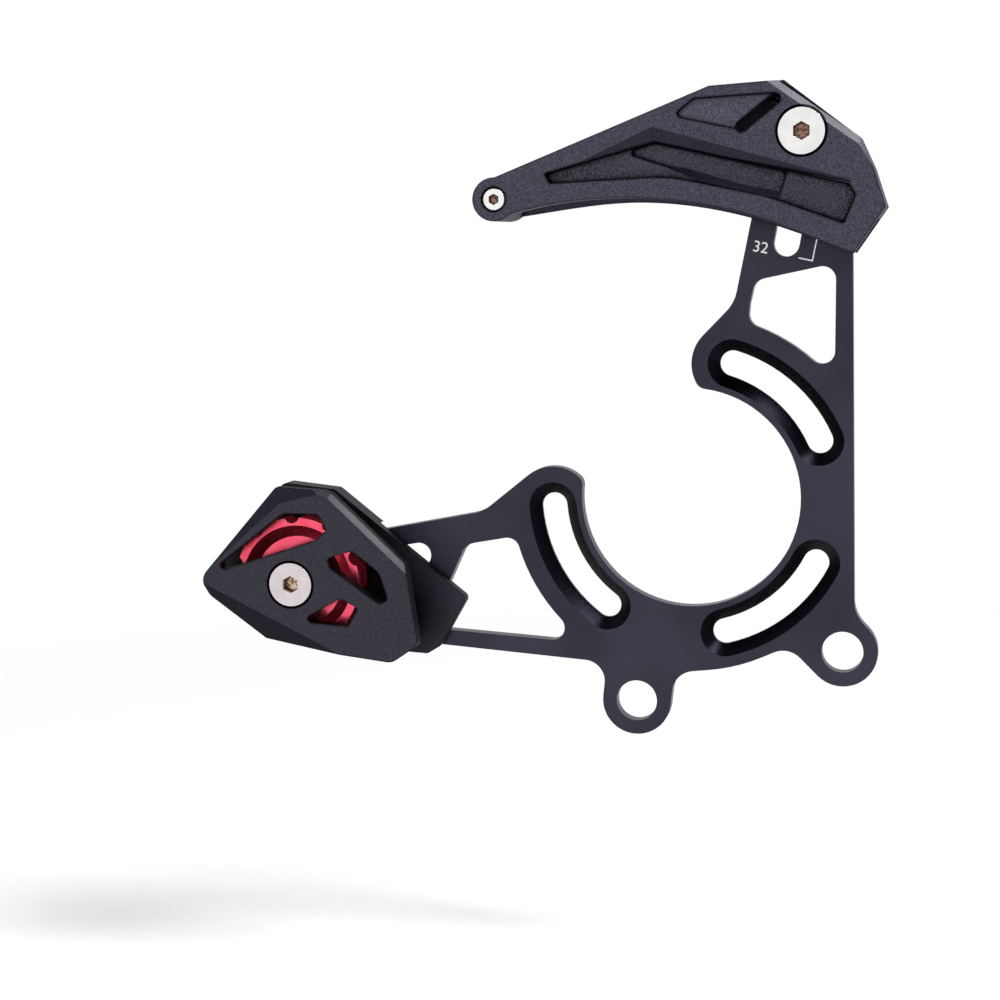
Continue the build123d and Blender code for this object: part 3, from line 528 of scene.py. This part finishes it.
# Painted shade: sloping faces and dish walls take a deeper, darker red.
shade = blend(tree, tilted(tree, *slope_lean), shade, pulley_slope_shade)
tree.links.new(blend(tree, edges["Wear"], shade, pulley_bare), shader.inputs["Base Color"])
tree.links.new(ramp(tree, grains["Speckle"], 0, 1, *pulley_sheen), shader.inputs["Roughness"])
grooves = {"Centre": on_axis("pulley"), "Scale": 700.0, "Wander": 0.5}
rings = put(tree, "ShaderNodeGroup", grooves, node_tree=lathe).outputs["Height"]
roughen(tree, shader, edges, rings, ring_depth)
dress(["pulley"], pulley_finish)

# Bearing
# A shielded ball bearing between the pulley and its bolt. Its rings and balls are ground chrome
# steel, and its shields are pressed in.

bearing_tones = (0.56, 0.56, 0.58), (0.40, 0.40, 0.42)
bearing_sheen = 0.18, 0.3
bearing_grain = 0.15 * mm
bearing_depth = 0.003 * mm


def plain_metal(name, tones, edge_radius, grain_size, sheen, depth):
    """Bare metal in two close tones, with a fine even grain of this depth."""
    material, tree, shader, edges, grains = surface(
        name, tones[0], edge_radius, wear_size=1 * mm, crease=0.3 * mm, grain_size=grain_size,
        patch_size=3 * mm, Metallic=1.0)
    tree.links.new(blend(tree, grains["Patch"], *tones), shader.inputs["Base Color"])
    tree.links.new(ramp(tree, grains["Speckle"], 0, 1, *sheen), shader.inputs["Roughness"])
    roughen(tree, shader, edges, grains["Height"], depth)
    return material


bearing_finish = plain_metal(
    "bearing_ground", bearing_tones, 0.05 * mm, bearing_grain, bearing_sheen, bearing_depth)
dress(["bearing_outer_ring", "bearing_inner_ring", "bearing_balls", "bearing_shield_front",
       "bearing_shield_rear"], bearing_finish)

# Sleeve and spacers
# Short tubes turned from aluminium. The sleeve keeps its bolt from crushing the guide's halves, and
# the spacers hold the bearing clear of the covers.

spacer_tones = (0.66, 0.66, 0.68), (0.50, 0.50, 0.52)
spacer_sheen = 0.28, 0.4
spacer_grain = 0.2 * mm
spacer_depth = 0.004 * mm
spacer_finish = plain_metal(
    "spacer_turned", spacer_tones, 0.08 * mm, spacer_grain, spacer_sheen, spacer_depth)
dress(["upper_guide_sleeve", "roller_spacer_front", "roller_spacer_rear"], spacer_finish)

# Floor, lights and camera
# A white floor that fades into a white room, one soft light above and to the right of the front, and
# a weaker one to the left. The camera stands where the photograph was taken from.

floor_drop = 60 * mm
floor_size = 6.0
floor_white = (0.92, 0.92, 0.92)
floor_matte = 0.9
floor_fade = 0.25, 0.6
white = (1, 1, 1, 1)
level = cad_box[0].z - floor_drop
half = floor_size / 2
floor_mesh = bpy.data.meshes.new("floor")
floor_mesh.from_pydata([(-half, -half, level), (half, -half, level), (half, half, level),
                        (-half, half, level)], [], [(0, 1, 2, 3)])
floor = bpy.data.objects.new("floor", floor_mesh)
bpy.context.scene.collection.objects.link(floor)
floor_paint = bpy.data.materials.new("floor_paint")
floor_paint.use_nodes = True
tree = floor_paint.node_tree
shader = tree.nodes["Principled BSDF"]
shader.inputs["Base Color"].default_value = (*floor_white, 1)
shader.inputs["Roughness"].default_value = floor_matte
place = put(tree, "ShaderNodeTexCoord").outputs["Object"]
away = put(tree, "ShaderNodeVectorMath", {0: place}, operation="LENGTH").outputs["Value"]
far_white = put(tree, "ShaderNodeEmission", {"Color": white, "Strength": 1.0}).outputs[0]
faded = put(tree, "ShaderNodeMixShader", {0: ramp(tree, away, *floor_fade), 1: shader.outputs[0],
                                          2: far_white})
tree.links.new(faded.outputs[0], tree.nodes["Material Output"].inputs["Surface"])
floor_mesh.materials.append(floor_paint)

# The room is lit before and behind the part and dark at its sides; camera and reflections see it white.
front_span = -0.80, -0.45
front_light = 1.0
side_light = 0.08
rear_span = 0.30, 0.70
rear_light = 2.0
room = bpy.data.worlds.new("room")
bpy.context.scene.world = room
room.use_nodes = True
tree = room.node_tree
tree.nodes.clear()
direction = put(tree, "ShaderNodeTexCoord").outputs["Generated"]
depth = put(tree, "ShaderNodeSeparateXYZ", {0: direction}).outputs["Y"]
strength = reckon(tree, "ADD", ramp(tree, depth, *front_span, front_light, side_light),
                  ramp(tree, depth, *rear_span, 0.0, rear_light))
room_light = put(tree, "ShaderNodeBackground", {"Color": white, "Strength": strength})
backdrop = put(tree, "ShaderNodeBackground", {"Color": white, "Strength": 1.0})
rays = put(tree, "ShaderNodeLightPath").outputs
seen = strongest(tree, rays["Is Camera Ray"], rays["Is Glossy Ray"], rays["Is Transmission Ray"])
chosen = put(tree, "ShaderNodeMixShader", {0: seen, 1: room_light.outputs[0], 2: backdrop.outputs[0]})
tree.links.new(chosen.outputs[0], put(tree, "ShaderNodeOutputWorld").inputs["Surface"])


def softbox(name, offset, side, power):
    """Square soft light that shines on the middle of the part from this far off."""
    middle = (cad_box[0] + cad_box[1]) / 2
    lamp = bpy.data.lights.new(name, "AREA")
    lamp.shape = "SQUARE"
    lamp.size = side
    lamp.energy = power
    holder = bpy.data.objects.new(name, lamp)
    holder.location = middle + Vector(offset)
    holder.rotation_euler = (-Vector(offset)).to_track_quat("-Z", "Y").to_euler()
    bpy.context.scene.collection.objects.link(holder)


softbox("key_light", offset=(0.60, -0.15, 0.79), side=0.38, power=10)
softbox("fill_light", offset=(-0.7, -0.8, 0.5), side=0.8, power=2.5)

camera_place = (0.07087, -0.56535, 0.06522)
camera_turn = (83.4508, 1.2742, 12.0726)
camera = bpy.data.cameras.new("camera")
camera.lens = 78.448
camera.sensor_width = 36
camera.clip_start = 0.01
camera.clip_end = 20
viewer = bpy.data.objects.new("camera", camera)
viewer.location = camera_place
viewer.rotation_euler = Euler([radians(angle) for angle in camera_turn])
bpy.context.scene.collection.objects.link(viewer)
bpy.context.scene.camera = viewer
bpy.context.scene.view_settings.view_transform = "Standard"
